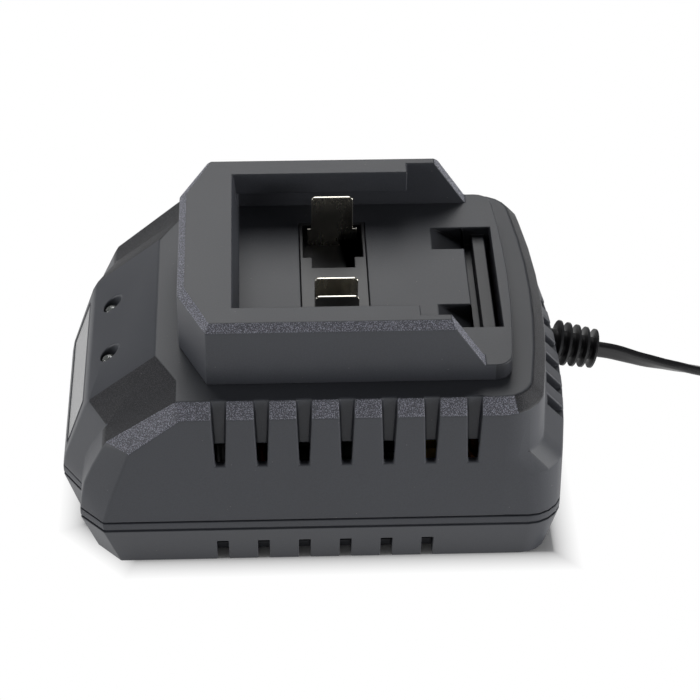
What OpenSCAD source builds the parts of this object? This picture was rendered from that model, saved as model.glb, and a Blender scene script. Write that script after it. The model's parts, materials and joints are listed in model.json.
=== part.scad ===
// Battery charger for slide-on power tool packs. X runs from the nose with the
// two indicator holes (-X) to the rear wall and the cord (+X), Z is up, and the
// charger stands on its rubber feet at Z = 0. The housing is the same left and
// right of the XZ plane, apart from the cord's place. The blades are not.

/* [Body] */
// Length of the housing from the nose to the rear wall
body_len = 146; // [140:1:158]
// Width of the housing at the seam
body_w = 103; // [99:1:112]
// Height of the shoulder that the dock stands on
shoulder_h = 60; // [58:1:66]
// Height of the seam between the tray and the upper housing
seam_h = 19; // [17:0.5:20]
// Wall of the mouldings
wall = 2.4; // [2:0.1:2.8]
// Inward slope of the tray's sides over their height
tray_draft = 4; // [3:0.5:5]

/* [Dock] */
// Height of the rails' top face above the shoulder
rail_rise = 20; // [18:0.5:24]
// Height of the dock's floor above the shoulder
floor_rise = 5.5; // [5:0.5:7]
// Width of the dock
dock_w = 81.4; // [80:0.2:86]
// Clear width between the two rail lips
lip_gap = 63.4; // [61:0.2:65]
// Clear width between the grooves under the lips
groove_gap = 72.4; // [72:0.2:74]
// Height of each lip
lip_h = 7; // [6:0.5:8]

/* [Contacts] */
// Width of a contact blade
blade_w = 12.2; // [11:0.2:13]
// Thickness of a contact blade
blade_t = 0.8; // [0.6:0.1:1]
// Height of a blade's tip above the dock's floor
blade_up = 12.5; // [11:0.5:13.5]

/* [Vents and lights] */
// Number of slots in each side of the upper housing
side_vents = 7; // [4:1:7]
// Distance between neighbouring side slots
vent_pitch = 11.7; // [10:0.1:12]
// Number of notches in each side of the tray
tray_notches = 6; // [3:1:6]
// Number of slots in the rear step
rear_vents = 6; // [4:2:6]
// Diameter of the two indicator holes
led_hole_d = 5.3; // [5.1:0.1:5.6]
// Distance between the two indicator holes
led_gap = 23; // [18:1:28]

/* [Cord] */
// Width of the flat two-core cord
cord_w = 5; // [4.6:0.1:5.4]
// Thickness of the flat two-core cord
cord_t = 3; // [2.6:0.1:3.2]
// Length of the strain relief outside the rear wall
relief_len = 14.8; // [13:0.2:18]

/* [Hidden] */

$fn = 48;
eps = 0.02;
past = 1; // how far a cut runs past what it cuts
function mix(a, b, u) = a + (b - a) * u;

// ---- strain relief, whose end sets the overall length ----
relief_tilt = 13;
relief_y = 18.4;
relief_z = shoulder_h - 34;
neck_d = 8.2;
tail_d = 6.8;
first_rib_d = 13.8;
last_rib_d = 12.1;
rib_count = 5;
rib_t = 1;
first_rib = 1.9;
tip_past = 0.6; // length of the tip past the last rib
flange_t = 1.4;
flange_d = 10.2;

// ---- overall places ----
rear_bow = 3;
rear_corner_r = 10;
side_w = body_w / 2;
// Distance of the rear wall at y from the farthest rear point
function bow_at(y) = rear_bow * pow(y / (side_w - rear_corner_r), 2);
relief_out = relief_len * cos(relief_tilt) + last_rib_d / 2 * sin(relief_tilt) - bow_at(relief_y);
nose_x = -round(5 * (body_len + relief_out)) / 10; // whole tenths keep mating faces exact
rear_x = nose_x + body_len;
foot_up = 0.6;
tray_z = foot_up;
tray_floor = tray_z + wall;
seam_gap = 0.3;
groove_line_z = seam_h - 3.4;
groove_line_t = 0.8;
bevel_h = 4;
bevel_run = 3.4;
bevel_z = shoulder_h - bevel_h;
side_draft = 0.5;
brow_h = shoulder_h - 15.8;
step_low = shoulder_h - 25.7;
step_high = shoulder_h - 18.8;
step_in = 6.1;
upper_corner_r = 12;
step_corner_r = 12;
ledge_corner_r = 8.5;
corner_steps = 5;
draw_in = 0.8; // share of the wall by which a slanting corner point moves inward

// ---- outline of the housing at a height ----
function rise(z) = (z - seam_h) / (brow_h - seam_h);
function over_brow(z) = (z - brow_h) / (shoulder_h - brow_h);
function half_w(z) = z <= bevel_z
    ? side_w - side_draft * max(0, z - seam_h) / (bevel_z - seam_h)
    : side_w - side_draft - bevel_run * (z - bevel_z) / bevel_h;
brow_in = [[0, 0], [0.16, 0.8], [0.91, 7.5], [1, 8.8]];
brow_top = 28.3;
cheek_in = [[0, 5.8], [0.2, 6.5], [0.4, 7.5], [0.6, 9.5], [0.83, 12.1], [1, 14.4]];
cheek_top = 34.4;
flank_in = [12.6, 20.9, 35.5];
function brow_x(z) = nose_x + (z <= brow_h ? lookup(rise(z), brow_in)
    : mix(brow_in[3][1], brow_top, over_brow(z)));
function cheek_x(z) = nose_x + (z <= brow_h ? lookup(rise(z), cheek_in)
    : mix(cheek_in[5][1], cheek_top, over_brow(z)));
function flank_x(z) = nose_x + (z <= brow_h
    ? mix(flank_in[0], flank_in[1], rise(z))
    : mix(flank_in[1], flank_in[2], (z - brow_h) / (bevel_z - brow_h)));
upper_rear_in = [[seam_h, 5.7], [step_high, 5.9], [bevel_z, 6.5], [shoulder_h, 10]];
function upper_rear(z) = rear_x - lookup(z, upper_rear_in);
function corner_r(z) = lookup(z, [[bevel_z, upper_corner_r], [shoulder_h, ledge_corner_r]]);
brow_y = [side_w - 25.4, side_w - 24.1];
jowl_y = [side_w - 17, side_w - 13.2];
cheek_y = [side_w - 6.9, side_w - 6];
function brow_w(z) = mix(brow_y[0], brow_y[1], min(1, rise(z)));
function jowl_w(z) = mix(jowl_y[0], jowl_y[1], min(1, rise(z)));
function cheek_w(z) = z <= brow_h ? mix(cheek_y[0], cheek_y[1], rise(z))
    : mix(cheek_y[1], half_w(shoulder_h), over_brow(z));

// Rear half of an outline on the -Y side: a rounded corner and a bowed wall
function rear_points(x, w, r, bow) = concat(
    [for (i = [0 : corner_steps]) let (a = 90 * i / corner_steps)
        [x - bow - r + r * sin(a), -w + r - r * cos(a)]],
    [for (y = [-0.66, -0.33, 0]) [x - bow * y * y, y * (w - r)]]);
function both_sides(p) = concat(p,
    [for (i = [len(p) - 1 : -1 : 0]) if (abs(p[i][1]) > eps) [p[i][0], -p[i][1]]]);

cheek_back = 8; // the flank never lies farther than this behind the cheek
function upper_outline(z, t) = both_sides(concat(
    [[cheek_x(z) + t, -cheek_w(z) + t * draw_in],
     [min(flank_x(z), cheek_x(z) + cheek_back) + t, t - half_w(z)]],
    rear_points(upper_rear(z) - t, half_w(z) - t, corner_r(z) - t, rear_bow)));
function nose_outline(z, t) = both_sides([[brow_x(z) + t, -brow_w(z) + t / 2],
    [cheek_x(z) + t, -jowl_w(z) + t * draw_in], [nose_x + brow_top + 8, -jowl_w(z) + t * draw_in]]);
lower_front = nose_x + body_len / 2;
// The lower part's sides lie inside the upper part's until the rear corner
side_dip = 1;
function lower_outline(z, t, back, r) = both_sides(concat(
    [[lower_front, t + side_dip - half_w(z)]],
    rear_points(rear_x - back - t, half_w(z) - t - eps, r - t, rear_bow)));

module slab(points, z) {
    translate([0, 0, z]) linear_extrude(eps) polygon(points);
}

// Outer form of the upper housing, or its hollow when t is the wall
module body_form(t) {
    hull() {
        for (u = [0, 0.2, 0.4, 0.6, 0.91, 1]) let (z = mix(seam_h, brow_h, u))
            slab(upper_outline(z, t), z - t);
        slab(upper_outline(bevel_z, t), bevel_z - t);
        slab(upper_outline(shoulder_h, t), shoulder_h - eps - t);
    }
    hull() {
        for (u = [0, 0.16, 0.91, 1]) let (z = mix(seam_h, brow_h, u)) slab(nose_outline(z, t), z - t);
        slab(nose_outline(shoulder_h, t), shoulder_h - eps - t);
    }
    hull() {
        slab(lower_outline(seam_h, t, 0, rear_corner_r), seam_h - t);
        slab(lower_outline(step_low, t, 0, step_corner_r), step_low - t);
        slab(lower_outline(step_high, t, step_in, step_corner_r), step_high - t);
    }
}

// Outline of the tray, drawn in by t: its nose stands out in front of its broad body
function brow_points(t) = [[nose_x + t, -brow_y[0] + t / 2],
    [nose_x + cheek_in[0][1] + t, -jowl_y[0] + t / 2]];
function broad_points(t) = concat(
    [[nose_x + cheek_in[0][1] + t, -cheek_y[0] + t], [nose_x + flank_in[0] + t, t - side_w]],
    rear_points(rear_x - t * draw_in, side_w - t, rear_corner_r - t / 2, rear_bow));
function tray_outline(t) = both_sides(concat(brow_points(t), broad_points(t)));
function tray_nose(t) = both_sides(concat(brow_points(t), [[nose_x + flank_in[1], -jowl_y[0] + t / 2]]));
function tray_broad(t) = both_sides(broad_points(t));

// ---- dock ----
floor_z = shoulder_h + floor_rise;
dock_top = shoulder_h + rail_rise;
floor_t = 3;
dock_x0 = nose_x + 34.9;
dock_x1 = rear_x - 16.7;
dock_cut_x = 8;
dock_front_y = dock_w / 2 - 17.2;
dock_bevel = 2;
rail_end_top = dock_x1 - 19.3;
rail_end_low = dock_x1 - 9.7;
bay_x0 = dock_x0 + 15.3;
bay_draft = 1.5;
lip_end = rail_end_top - 8.3;
dock_corner_r = 5;
dock_bow = 1.8;
function dock_outline(t) = both_sides(concat(
    [[dock_x0 + t, -dock_front_y + t / 2], [dock_x0 + dock_cut_x + t / 2, t - dock_w / 2]],
    rear_points(dock_x1 - t, dock_w / 2 - t, dock_corner_r - t / 2, dock_bow)));

// ---- latch recess in the dock's floor ----
latch_x0 = dock_x1 - 21.1;
latch_x1 = dock_x1 - 11.6;
latch_x2 = dock_x1 - 3.4;
latch_y = 23.6;
tongue_y = 13.3;
latch_depth = 6.5;
ramp_depth = 5;
ramp_foot = 1;
tub_wall = 2;
bar_x0 = latch_x1 + 2.8;
bar_w = 3.8;
bar_down = 2.8;
bar_end = 1; // the slot behind the bar stops this far from the recess's ends

// ---- terminal block and blades ----
block_x = (bay_x0 + lip_end) / 2 + 3.3;
block_w = 19.4;
block_y0 = -28.4;
block_y1 = 27;
block_deep = 12.5;
block_bottom = floor_z - block_deep;
block_fit = 0.1;
pocket_y0 = 10;
pocket_rim = 1;
pocket_deep = 4.5;
notch_y0 = 5;
ear_d = 5;
ear_t = 2.4;
ear_up = 2;
ear_root = 2;
ear_y = [block_y0 - ear_d / 2, block_y1 + ear_d / 2];
positive_y = 22.5;
sense_y = -16.5;
negative_y = -24.8;
tail_down = 18;
blade_foot = floor_z - tail_down;
shoulder_w = blade_w + 2.4;
shoulder_up = 1.2;
shoulder_deep = 3;
tip_r = 1.2;

// ---- board ----
board_t = 1.6;
board_z = 14;
board_top = board_z + board_t;
board_x0 = nose_x + 13;
board_x1 = rear_x - 10;
board_side = 12.5; // from the housing's side to the board's edge
board_w = body_w - 2 * board_side;
board_post_d = 7;
post_inset = 6;
board_hold = 6;
board_posts = [for (x = [board_x0 + post_inset, board_x1 - post_inset], s = [-1, 1])
    [x, s * (board_w / 2 - post_inset)]];

// ---- screws, feet and the towers that the housing screws run through ----
screw_d = 3;
screw_head_d = 5.6;
screw_head_h = 2;
small_screw_d = 2.6;
small_head_d = 5;
small_head_h = 1.6;
tower_d = 8;
tower_y = side_w - 9.4;
towers = [for (x = [nose_x + 27, rear_x - 19], s = [-1, 1]) [x, s * tower_y]];
tower_gap = 0.5;
tower_top = seam_h - 1;
screw_sink = 6;
housing_screw_len = 22;
dock_screw_len = 7;
dock_screws_at = concat([for (s = [-1, 1]) [dock_x0 + 7, s * 17]],
    [for (s = [-1, 1]) [dock_x1 - 9, s * (dock_w / 2 - 8.7)]]);
terminal_screw_len = 9;
foot_d = 11;
foot_in = 1;
feet = [for (x = [nose_x + 24, rear_x - 22], s = [-1, 1]) [x, s * (side_w - 22)]];

// ---- vents ----
side_mid = (nose_x + flank_in[2] + rear_x - 20) / 2 + 0.4;
vent_top_w = 4.1;
vent_low_w = 2.7;
vent_low_z = shoulder_h - 20.6;
vent_open_h = 4.6;
vent_in = 0.4; // how far the slots cut into the shoulder's flat top
vent_back_t = 1.8;
rear_vent_w = 4.6;
rear_vent_pitch = 10;
rear_vent_z0 = step_low - 0.8;
rear_vent_z1 = step_high - 1.4;
notch_w = 3.3;
notch_h = tray_z + 9.2;
function vent_x(i) = (i - (side_vents - 1) / 2) * vent_pitch + side_mid;
function notch_x(i) = (i - (tray_notches - 1) / 2) * vent_pitch + side_mid - vent_pitch / 2;
function rear_vent_y(i) = (i - (rear_vents - 1) / 2) * rear_vent_pitch;

// ---- lights and label ----
led_x = nose_x + 14.4;
led_d = 5;
led_rim = 0.4;
led_rim_h = 1;
led_tip_z = brow_h + 3.2;
led_body_h = 8.6;
led_base_z = led_tip_z - led_body_h;
stand_d = 7;
stand_bore = 4;
leg_w = 0.5;
leg_gap = 2.54;
label_rise = [0.16, 0.91];
label_low = mix(seam_h, brow_h, label_rise[0]);
label_high = mix(seam_h, brow_h, label_rise[1]);
label_lean = atan2(brow_x(label_high) - brow_x(label_low), label_high - label_low);
label_w = 46;
label_h = 16.5;
label_t = 0.4;
label_play = 0.3;

// ---- small shared shapes ----
module bar(x0, x1, y0, y1, z0, z1) {
    translate([x0, y0, z0]) cube([x1 - x0, y1 - y0, z1 - z0]);
}
module post(at, d, z0, z1) {
    translate([at[0], at[1], z0]) cylinder(d = d, h = z1 - z0);
}
module both_y() {
    children();
    mirror([0, 1, 0]) children();
}
// Prism along Y from a profile in XZ
module side_prism(y0, y1, profile) {
    translate([0, y1, 0]) rotate([90, 0, 0]) linear_extrude(y1 - y0) polygon(profile);
}
// Prism along X from a profile in YZ
module front_prism(x0, x1, profile) {
    translate([x0, 0, 0]) rotate([90, 0, 90]) linear_extrude(x1 - x0) polygon(profile);
}

// Screw standing on its head, whose shank starts at z with its tip up
slot_w = 0.8;
module screw_up(at, z, d, head_d, head_h, length) {
    slot_l = head_d * 0.6;
    translate([at[0], at[1], z]) difference() {
        union() {
            translate([0, 0, -head_h]) cylinder(d = head_d, h = head_h);
            cylinder(d = d, h = length);
        }
        for (a = [0, 90]) rotate([0, 0, a])
            translate([-slot_l / 2, -slot_w / 2, -head_h - eps]) cube([slot_l, slot_w, head_h / 2]);
    }
}
module small_screw_up(at, z, length) screw_up(at, z, small_screw_d, small_head_d, small_head_h, length);

// ---- sweeps along a route ----
function cross3(a, b) = [a[1] * b[2] - a[2] * b[1], a[2] * b[0] - a[0] * b[2], a[0] * b[1] - a[1] * b[0]];
function unit(v) = v / norm(v);
function heading(p, i) = let (n = len(p)) i == 0 ? unit(p[1] - p[0])
    : i == n - 1 ? unit(p[n - 1] - p[n - 2])
    : unit(unit(p[i + 1] - p[i]) + unit(p[i] - p[i - 1]));
// Ring of a flat section: w across, t thick, turned by roll about the route
function ring(at, dir, w, t, roll, sides, ref) = let (s = unit(cross3(dir, ref)), u = cross3(s, dir),
    c = cos(roll), e = sin(roll))
    [for (k = [0 : sides - 1]) let (a = 360 * (k + 0.5) / sides, x = w / 2 * cos(a), y = t / 2 * sin(a))
        at + s * (x * c - y * e) + u * (x * e + y * c)];
module tube(route, w, t, rolls, sides, ref = [0, 0, 1]) {
    n = len(route);
    points = [for (i = [0 : n - 1]) each ring(route[i], heading(route, i), w, t, rolls[i], sides, ref)];
    ends = [[for (k = [0 : sides - 1]) k], [for (k = [sides - 1 : -1 : 0]) (n - 1) * sides + k]];
    walls = [for (i = [0 : n - 2], k = [0 : sides - 1])
        let (a = i * sides + k, b = i * sides + (k + 1) % sides) each
            [[a, a + sides, b + sides], [a, b + sides, b]]];
    polyhedron(points = points, faces = concat(ends, walls));
}
function total(p, i = 0) = i >= len(p) - 1 ? 0 : norm(p[i + 1] - p[i]) + total(p, i + 1);

// ================= housing =================
module bottom_tray() color("#3b3c3f") {
    difference() {
        union() {
            difference() {
                union() {
                    hull() {
                        slab(tray_broad(tray_draft), tray_z);
                        slab(tray_broad(0), groove_line_z);
                        slab(tray_broad(0), seam_h - seam_gap - eps);
                    }
                    hull() {
                        slab(tray_nose(tray_draft), tray_z);
                        slab(tray_nose(0), groove_line_z);
                        slab(tray_nose(0), seam_h - seam_gap - eps);
                    }
                }
                hull() {
                    slab(tray_broad(tray_draft + wall), tray_floor);
                    slab(tray_broad(wall), groove_line_z);
                    slab(tray_broad(wall), seam_h);
                }
                hull() {
                    slab(tray_nose(tray_draft + wall), tray_floor);
                    slab(tray_nose(wall), groove_line_z);
                    slab(tray_nose(wall), seam_h);
                }
            }
            for (p = towers) post(p, tower_d, tray_floor - eps, tower_top);
            for (p = board_posts) post(p, board_post_d, tray_floor - eps, board_z);
        }
        translate([0, 0, groove_line_z]) linear_extrude(groove_line_t) difference() {
            polygon(tray_outline(-past));
            polygon(tray_outline(groove_line_t));
        }
        both_y() for (i = [0 : tray_notches - 1]) tray_notch(notch_x(i));
        for (p = towers) {
            post(p, screw_d, 0, tower_top + past);
            post(p, screw_head_d, 0, screw_sink);
        }
        for (p = board_posts) post(p, small_screw_d, board_z - board_hold, board_z + past);
        for (p = feet) post(p, foot_d, 0, tray_z + foot_in);
    }
}
module tray_notch(x) {
    deep = tray_draft + wall + 2;
    bar(x - notch_w / 2, x + notch_w / 2, -side_w - past, -side_w + deep, 0, notch_h);
}

// Space inside the shoulder's corner bevels, which the towers stay within
module tower_room() {
    near = 0.6;
    top = shoulder_h - near;
    intersection() {
        side_prism(-side_w, side_w, [[cheek_x(seam_h) + near, 0], [cheek_x(brow_h) + near, brow_h],
            [cheek_x(shoulder_h) + near, top], [upper_rear(shoulder_h), top], [upper_rear(shoulder_h), 0]]);
        front_prism(nose_x, rear_x, both_sides_up([[side_w - near, 0], [half_w(bevel_z) - near, bevel_z],
            [half_w(shoulder_h) - near, top]]));
    }
}
function both_sides_up(p) = concat(p, [for (i = [len(p) - 1 : -1 : 0]) [-p[i][0], p[i][1]]]);

// Cover under the dock: openings in the shoulder for the block and the latch tub
tub_play = 0.3;
module shoulder_openings() {
    low = shoulder_h - 10;
    tub_y = latch_y + tub_wall + tub_play;
    bar(dock_x0 + 13, latch_x1 - 1, -dock_w / 2 + 5, dock_w / 2 - 5, low, shoulder_h + past);
    bar(latch_x1 - 2, latch_x2 + tub_wall + tub_play, -tub_y, tub_y, low, shoulder_h + past);
}
// Wedge-shaped slot in the near side: shallow all the way, open at its foot
module side_vent(x) {
    slot_prism(x, shoulder_h + past, vent_top_w + 0.2, vent_in - half_w(shoulder_h));
    slot_prism(x, vent_low_z + vent_open_h, vent_low_w + 0.3, -side_w + wall + 2);
}
// Rib inside the wall that closes the slots above their open foot
module vent_back() {
    outer = half_w(bevel_z) - wall + 0.6;
    inner = half_w(shoulder_h) - vent_in - vent_back_t;
    reach = vent_top_w / 2 + 2.4;
    bar(vent_x(0) - reach, vent_x(side_vents - 1) + reach, -outer, -inner,
        vent_low_z + vent_open_h, shoulder_h - wall + 0.2);
}
module slot_prism(x, z1, w1, y1) {
    side_prism(-side_w - past, y1, [[x - vent_low_w / 2, vent_low_z], [x + vent_low_w / 2, vent_low_z],
        [x + w1 / 2, z1], [x - w1 / 2, z1]]);
}
module rear_vent(y) {
    half = rear_vent_w / 2;
    bar(rear_x - step_in - 4, rear_x + past, y - half, y + half, rear_vent_z0, rear_vent_z1);
}
module label_block(grow, depth) {
    mid_z = (label_low + label_high) / 2;
    mid_x = (brow_x(label_low) + brow_x(label_high)) / 2;
    translate([mid_x, 0, mid_z]) rotate([0, label_lean, 0])
        translate([-past, -label_w / 2 - grow, -label_h / 2 - grow])
            cube([past + depth, label_w + 2 * grow, label_h + 2 * grow]);
}
screw_tip_z = screw_sink + housing_screw_len;
relief_seat = wall + 1.8;
seat_d = flange_d + 2;
module upper_housing() color("#3f4043") {
    difference() {
        union() {
            difference() {
                body_form(0);
                body_form(wall);
                bar(nose_x - past, rear_x + past, -side_w - past, side_w + past, seam_h - 20, seam_h);
            }
            intersection() {
                tower_room();
                for (p = towers) post(p, tower_d, tower_top, shoulder_h);
            }
            both_y() vent_back();
            relief_place() translate([0, 0, -relief_seat]) cylinder(d = seat_d, h = relief_seat - wall + 0.6);
        }
        shoulder_openings();
        for (p = towers) post(p, screw_d, tower_top - past, screw_tip_z);
        for (p = dock_screws_at) post(p, small_screw_d, shoulder_h - wall - past, shoulder_h + past);
        both_y() for (i = [0 : side_vents - 1]) side_vent(vent_x(i));
        for (i = [0 : rear_vents - 1]) rear_vent(rear_vent_y(i));
        for (s = [-1, 1]) post([led_x, s * led_gap / 2], led_hole_d, brow_h - 12, shoulder_h);
        relief_place() translate([0, 0, -relief_seat - past]) cylinder(d = neck_d, h = relief_seat + 6);
        label_block(0, label_t);
    }
}

// ================= dock =================
module battery_dock() color("#3f4043") {
    boss_top = floor_z - floor_t + 1;
    difference() {
        union() {
            difference() {
                dock_mass();
                dock_hollow();
            }
            tub();
            for (p = dock_screws_at) post(p, tower_d, shoulder_h, boss_top);
            for (y = ear_y) post([block_x, y], ear_d, block_bottom + ear_up + ear_t, boss_top);
        }
        latch_recess();
        bar(block_x - block_w / 2, block_x + block_w / 2, block_y0, block_y1,
            block_bottom - past, floor_z + past);
        for (p = dock_screws_at)
            post(p, small_screw_d, shoulder_h - past, shoulder_h - wall + dock_screw_len);
        for (y = ear_y)
            post([block_x, y], small_screw_d, block_bottom, block_bottom + ear_up + terminal_screw_len);
    }
}
// Pedestal and rails, with the bay, the grooves and the rails' sloping ends cut
module dock_mass() {
    far = dock_x1 + past;
    over = dock_top + past;
    floor_x = bay_x0 + bay_draft;
    difference() {
        hull() {
            slab(dock_outline(0), shoulder_h);
            slab(dock_outline(0), dock_top - dock_bevel);
            slab(dock_outline(dock_bevel), dock_top - eps);
        }
        side_prism(-dock_w, dock_w, [[rail_end_top, dock_top], [rail_end_low, floor_z], [far, floor_z],
            [far, over], [rail_end_top, over]]);
        side_prism(-lip_gap / 2, lip_gap / 2,
            [[floor_x, floor_z], [far, floor_z], [far, over], [bay_x0, over]]);
        bar(lip_end, far, -groove_gap / 2, groove_gap / 2, floor_z, over);
        bar(floor_x, far, -groove_gap / 2, groove_gap / 2, floor_z, dock_top - lip_h);
    }
}
module dock_hollow() {
    post_y = dock_screws_at[1][1] - tower_d / 2 - 1;
    translate([0, 0, shoulder_h - past])
        linear_extrude(floor_rise - floor_t + past) polygon(dock_outline(wall));
    bar(dock_x0 + wall + 0.6, bay_x0 - wall, -post_y, post_y, shoulder_h - past, dock_top - floor_t);
}
module tub() {
    tub_y = latch_y + tub_wall;
    bar(latch_x0, latch_x2 + tub_wall, -tub_y, tub_y,
        floor_z - latch_depth - tub_wall, floor_z - floor_t + 1);
}
module latch_recess() {
    over = floor_z + past;
    ramp_z = floor_z - ramp_depth;
    difference() {
        union() {
            bar(latch_x1, latch_x2, -latch_y, latch_y, floor_z - latch_depth, over);
            both_y() side_prism(tongue_y, latch_y - eps, [[latch_x0, floor_z], [latch_x1, ramp_z],
                [latch_x1 + ramp_foot, ramp_z], [latch_x1 + ramp_foot, over], [latch_x0, over]]);
        }
        bar(bar_x0, bar_x0 + bar_w, -latch_y - past, latch_y + past,
            floor_z - latch_depth - past, floor_z - bar_down);
    }
    bar(bar_x0 + bar_w, latch_x2, bar_end - latch_y, latch_y - bar_end,
        floor_z - latch_depth - tub_wall - past, floor_z);
}

// ================= contacts =================
module blade_slot(y, wide) {
    y0 = y - blade_t / 2;
    y1 = y + blade_t / 2;
    bar(block_x - blade_w / 2, block_x + blade_w / 2, y0, y1, block_bottom - past, floor_z + past);
    if (wide) bar(block_x - shoulder_w / 2, block_x + shoulder_w / 2, y0, y1,
        floor_z - pocket_deep - shoulder_deep, floor_z + past);
}
module terminal_block() color("#2b2c2f") {
    half = block_w / 2 - block_fit;
    rim = block_w / 2 - pocket_rim;
    pocket_z = floor_z - pocket_deep;
    ear_z = block_bottom + ear_up;
    difference() {
        union() {
            bar(block_x - half, block_x + half, block_y0 + block_fit, block_y1 - block_fit,
                block_bottom, floor_z);
            for (y = ear_y) hull() {
                post([block_x, y], ear_d, ear_z, ear_z + ear_t);
                post([block_x, y > 0 ? block_y1 - ear_root : block_y0 + ear_root],
                    ear_d, ear_z, ear_z + ear_t);
            }
        }
        bar(block_x - rim, block_x + rim, pocket_y0, block_y1 - pocket_rim, pocket_z, floor_z + past);
        bar(block_x - blade_w / 2, block_x + blade_w / 2, notch_y0, pocket_y0 + past,
            pocket_z, floor_z + past);
        blade_slot(positive_y, true);
        blade_slot(sense_y, false);
        blade_slot(negative_y, false);
        for (y = ear_y) post([block_x, y], small_screw_d, block_bottom, floor_z - past);
    }
}
// A blade is a flat strip with rounded tip corners, standing across the slide way
module blade(y, wide) {
    tip_z = floor_z + blade_up - tip_r;
    shoulder_z = floor_z - pocket_deep - shoulder_deep;
    translate([block_x, y + blade_t / 2, 0]) rotate([90, 0, 0]) linear_extrude(blade_t) {
        translate([-blade_w / 2, blade_foot]) square([blade_w, tip_z - blade_foot]);
        translate([tip_r - blade_w / 2, tip_z - eps]) square([blade_w - 2 * tip_r, tip_r + eps]);
        for (s = [-1, 1]) translate([s * (blade_w / 2 - tip_r), tip_z]) circle(r = tip_r);
        if (wide) translate([-shoulder_w / 2, shoulder_z])
            square([shoulder_w, floor_z + shoulder_up - shoulder_z]);
    }
}
module blade_positive() color("#cfcdc6") blade(positive_y, true);
module blade_sense() color("#cfcdc6") blade(sense_y, false);
module blade_negative() color("#cfcdc6") blade(negative_y, false);

// ================= lights and label =================
module led(s) {
    round_h = led_body_h - led_d / 2;
    translate([led_x, s * led_gap / 2, led_base_z]) {
        cylinder(d = led_d + 2 * led_rim, h = led_rim_h);
        cylinder(d = led_d, h = round_h);
        translate([0, 0, round_h]) sphere(d = led_d);
    }
}
module led_charging() color("#d9e6dc") led(-1);
module led_ready() color("#e6dcd9") led(1);
module led_stands() color("#e9e9e4") for (s = [-1, 1]) translate([led_x, s * led_gap / 2, 0]) difference() {
    post([0, 0], stand_d, board_top, led_base_z);
    post([0, 0], stand_bore, board_top - past, led_base_z + past);
}
module led_legs() color("#c9cbce") for (s = [-1, 1], k = [-1, 1])
    translate([led_x + k * leg_gap / 2 - leg_w / 2, s * led_gap / 2 - leg_w / 2, board_top])
        cube([leg_w, leg_w, led_base_z - board_top]);
module front_label() color("#c9cbcf") intersection() {
    label_block(-label_play, label_t);
    body_form(0);
}

// ================= circuit =================
module circuit_board() color("#2f6b3c") difference() {
    bar(board_x0, board_x1, -board_w / 2, board_w / 2, board_z, board_top);
    for (p = board_posts) post(p, small_screw_d, board_z - past, board_top + past);
    for (p = towers) post(p, tower_d + 2 * tower_gap, board_z - past, board_top + past);
}

// Transformer: a core with two windows on a bobbin, wound through the windows
core_at = [block_x + 3.8, 14.5];
core_l = 32;
core_w = 11;
core_h = 23;
core_leg = 5;
core_window = 9;
mid_leg = core_l - 2 * core_leg - 2 * core_window;
bobbin_t = 3;
bobbin_w = 24;
bobbin_past = 1;
wound_h = core_h - 2 * core_leg;
wound_w = 2 * core_window + mid_leg;
wound_r0 = 6;
core_z = board_top + bobbin_t;
module transformer_core() color("#4a4b4e") translate([core_at[0], core_at[1], core_z]) difference() {
    translate([-core_l / 2, -core_w / 2, 0]) cube([core_l, core_w, core_h]);
    for (x = [-core_window - mid_leg / 2, mid_leg / 2])
        translate([x, -core_w / 2 - past, core_leg]) cube([core_window, core_w + 2 * past, wound_h]);
}
module transformer_bobbin() color("#262626") translate([core_at[0], core_at[1], board_top]) {
    half = core_l / 2 + bobbin_past;
    difference() {
        translate([-half, -bobbin_w / 2, 0]) cube([2 * half, bobbin_w, bobbin_t]);
        for (s = [-1, 1], k = [-1 : 1]) translate([s * half - past, k * bobbin_w / 3 - 2, 1])
            cube([2 * past, 4, bobbin_t]);
    }
}
module transformer_winding() color("#d8b23a") translate([core_at[0], core_at[1], core_z + core_leg])
    difference() {
        hull() for (s = [-1, 1], k = [-1, 1])
            translate([s * (wound_w / 2 - wound_r0), k * (bobbin_w / 2 - wound_r0), 0])
                cylinder(r = wound_r0, h = wound_h, $fn = 24);
        translate([-mid_leg / 2, -core_w / 2, -past]) cube([mid_leg, core_w, wound_h + 2 * past]);
    }

module can(at, d, h) {
    shoulder = 1;
    post(at, d, board_top, board_top + h - shoulder);
    post(at, d - 1.2, board_top, board_top + h);
}
bulk_at = [board_x1 - 21, 24];
bulk_d = 18;
bulk_h = 28;
small_cans_at = [for (y = [-26, -14]) [block_x - 34.3, y]];
small_can_d = 10;
small_can_h = 20;
module bulk_capacitor() color("#1d2b45") can(bulk_at, bulk_d, bulk_h);
module output_capacitors() color("#1d1d20") for (p = small_cans_at) can(p, small_can_d, small_can_h);

fuse_at = [board_x1 - 9, -24];
fuse_d = 4.8;
fuse_len = 20;
fuse_cap = 4;
fuse_cap_d = 5.4;
module fuse() color("#d5dadf") translate([fuse_at[0], fuse_at[1], board_top + fuse_cap_d / 2])
    rotate([-90, 0, 0]) {
        cylinder(d = fuse_d, h = fuse_len);
        for (z = [0, fuse_len - fuse_cap]) translate([0, 0, z]) cylinder(d = fuse_cap_d, h = fuse_cap);
    }

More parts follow.
